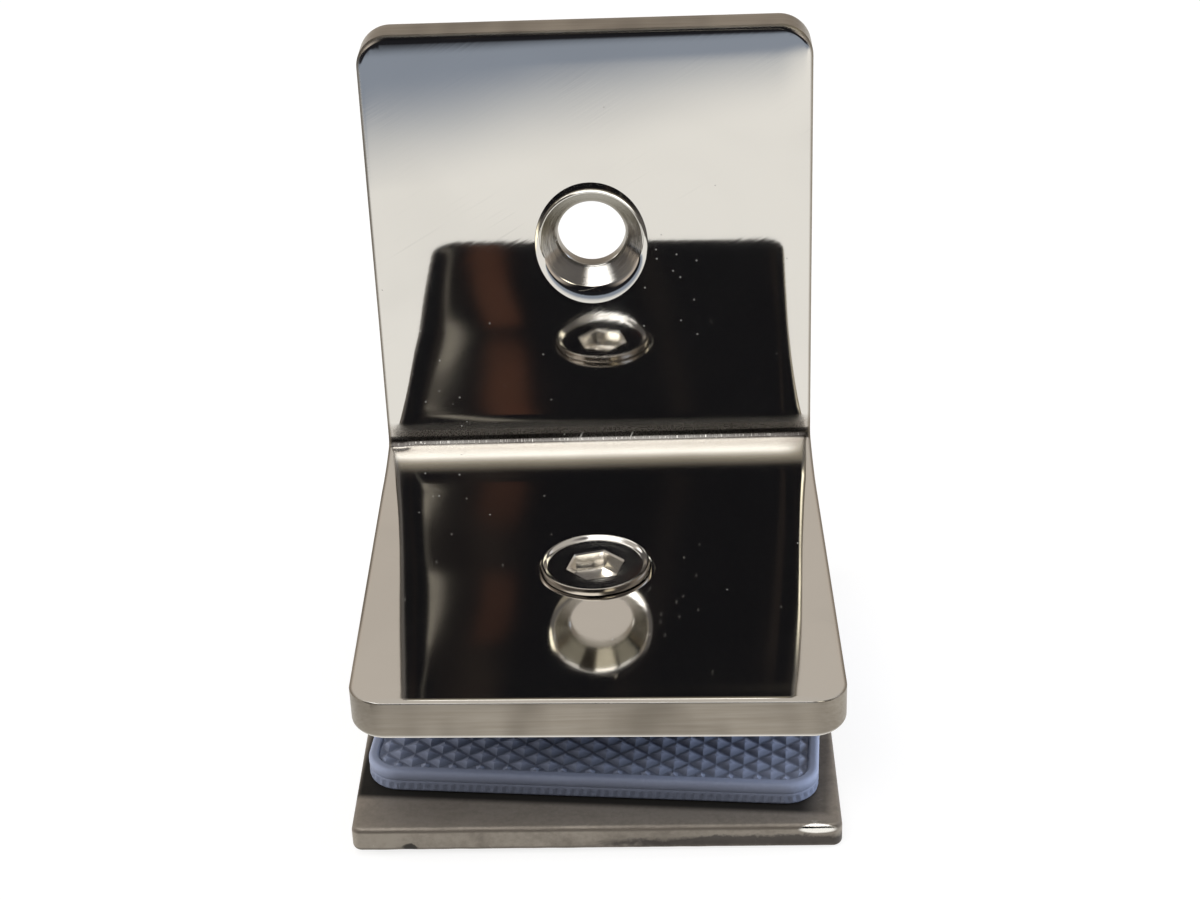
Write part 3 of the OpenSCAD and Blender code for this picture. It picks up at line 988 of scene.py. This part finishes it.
def stage_world():
    """A plain pale room: white for the camera, a soft light above, and shade round the camera."""
    world = bpy.data.worlds.new("studio")
    bpy.context.scene.world = world
    tree = Tree(world)
    x, y, z = tree.parts(tree.node("ShaderNodeTexCoord", out="Generated"))
    side = x / (-y).most(0.001)
    ahead = (-y).ramp(0.0, 0.25)
    low_wall, high_wall, front_wall = (0.585, 0.51, 0.435), (0.60, 0.56, 0.51), (0.16, 0.15, 0.145)
    wall = tree.coats(low_wall, (z.ramp(0.1, 0.9), high_wall),
                      (ahead * z.ramp(0.05, 0.30), front_wall))
    # A dark cloth with folds hangs in front, with a brown and a pale strip down its left
    hem = 0.441
    folds = tree.noise(tree.point(side, z * 0.12), 26.0, 2.0).ramp(0.50, 0.75)
    brown = abs(side + 0.0715 + (z - hem) * 0.2).ramp(0.0130, 0.0070)
    brown = brown * z.ramp(0.436, 0.445) * z.ramp(0.50, 0.485)
    brown = brown * (1.0 - 0.5 * z.ramp(0.468, 0.476))
    strip = abs(side + 0.104 + (z - hem) * 0.44).ramp(0.0095, 0.003)
    strip = strip * (1.0 - 0.7 * z.ramp(0.445, 0.452) * z.ramp(0.474, 0.466)
                     - 0.75 * z.ramp(0.488, 0.497))
    cloth = tree.coats((0.010, 0.010, 0.012), (folds, (0.030, 0.024, 0.022)),
                       (brown, (0.085, 0.040, 0.028)), (strip * 0.95, (0.36, 0.335, 0.29)))
    dark = abs(side).ramp(0.50, 0.20) * z.ramp(0.70, 0.58) * ahead
    above = abs(side).ramp(0.60, 0.35) * z.ramp(0.57, 0.67) * ahead
    # A soft light overhead, a window on each side and a warm lamp in front to the right
    soft = z.ramp(0.66, 0.74) * x.ramp(-0.64, -0.42) * x.ramp(0.20, 0.07)
    soft = soft * y.ramp(0.30, 0.0)
    pane = abs(abs(x) - 0.78).ramp(0.13, 0.06) * abs(z - 0.46).ramp(0.16, 0.08)
    pane = pane * y.ramp(0.05, 0.15)
    sky = tree.mix(x.ramp(-0.2, 0.2), (1.0, 0.98, 0.95), (0.72, 0.82, 1.0))
    warm = abs(side - 0.60).ramp(0.30, 0.16) * abs(z - 0.42).ramp(0.14, 0.07) * ahead
    room = tree.coats(wall, (dark, cloth), (above, (0.42, 0.375, 0.30)), (soft, (1.0, 0.99, 0.97)),
                      (pane, sky), (warm, (1.0, 0.93, 0.74)))
    camera = tree.ray("Camera").most(tree.ray("Transmission"))
    boost = 1.0 + tree.ray("Glossy") * (soft * 2.6 + pane * 1.4 + warm * 1.6)
    plain = tree.light("ShaderNodeBackground", room, boost)
    white = tree.light("ShaderNodeBackground", (1.0, 1.0, 1.0))
    tree.surface(tree.blend(camera, plain, white), "ShaderNodeOutputWorld")


def stage_lamp(name, place, aim, width, power, tint=(1.0, 1.0, 1.0)):
    """One large soft lamp that only shades; its own shape doesn't show in the polish."""
    lamp = bpy.data.lights.new(name, "AREA")
    lamp.shape, lamp.size, lamp.energy, lamp.color = "SQUARE", width, power, tint
    made = linked(name, lamp)
    made.location = place
    made.rotation_euler = (Vector(aim) - Vector(place)).to_track_quat("-Z", "Y").to_euler()
    made.visible_glossy = made.visible_camera = False


def stage_camera():
    """The camera in front of the clamp, looking down at it."""
    data = bpy.data.cameras.new("camera")
    data.lens, data.sensor_width, data.sensor_fit = 71.79, 36.0, "HORIZONTAL"
    data.shift_x, data.shift_y = 0.0, 0.025
    data.clip_start, data.clip_end = 0.01, 20.0
    camera = linked("camera", data)
    place = Vector((7.565, -229.333, 96.925)) * MM
    right = Vector((0.99929, 0.014635, -0.034720))
    up = Vector((0.023285, 0.484596, 0.874428))
    turn = Matrix((right, up, right.cross(up))).transposed()
    camera.matrix_world = Matrix.Translation(place) @ turn.to_4x4()
    bpy.context.scene.camera = camera


class GLASSCLAMP_OT_stage(ClampOperator, bpy.types.Operator):
    """Set the floor, the soft light and the camera"""

    bl_idname = "glassclamp.stage"
    bl_label = "Stage"

    def execute(self, context):
        context.scene.view_settings.view_transform = "Standard"
        stage_floor(context.scene.glass_clamp_finish)
        stage_world()
        pads = (0, -0.03, -0.03)
        stage_lamp("key_lamp", (-0.35, -0.55, 0.80), (0, -0.03, -0.02), 0.6, 2.4)
        stage_lamp("left_lamp", (-0.55, -0.02, 0.055), pads, 0.25, 2.6, (1.0, 0.96, 0.92))
        stage_lamp("right_lamp", (0.55, -0.02, 0.055), pads, 0.25, 3.9, (0.80, 0.88, 1.0))
        stage_camera()
        return {"FINISHED"}


class GLASSCLAMP_PT_sidebar(bpy.types.Panel):
    """Lists the clamp's pieces, sizes and finishes"""

    bl_idname = "GLASSCLAMP_PT_sidebar"
    bl_label = "Glass clamp"
    bl_space_type = "VIEW_3D"
    bl_region_type = "UI"
    bl_category = "Glass clamp"

    def draw(self, context):
        column = self.layout.column(align=True)
        for operator in OPERATORS:
            column.operator(operator.bl_idname)
        for group in (context.scene.glass_clamp_sizes, context.scene.glass_clamp_finish):
            box = self.layout.box().column(align=True)
            for name in group.__annotations__:
                box.prop(group, name)


OPERATORS = (GLASSCLAMP_OT_bracket, GLASSCLAMP_OT_screw, GLASSCLAMP_OT_pads, GLASSCLAMP_OT_plate,
             GLASSCLAMP_OT_stage)
CLASSES = (GlassClampSizes, GlassClampFinish, *OPERATORS, GLASSCLAMP_PT_sidebar)


def register():
    for made in CLASSES:
        bpy.utils.register_class(made)
    bpy.types.Scene.glass_clamp_sizes = PointerProperty(type=GlassClampSizes)
    bpy.types.Scene.glass_clamp_finish = PointerProperty(type=GlassClampFinish)


def unregister():
    del bpy.types.Scene.glass_clamp_finish
    del bpy.types.Scene.glass_clamp_sizes
    for made in reversed(CLASSES):
        bpy.utils.unregister_class(made)


def main():
    register()
    bpy.ops.glassclamp.bracket()
    bpy.ops.glassclamp.screw()
    bpy.ops.glassclamp.pads()
    bpy.ops.glassclamp.plate()
    bpy.ops.glassclamp.stage()


if __name__ == "__main__":
    main()
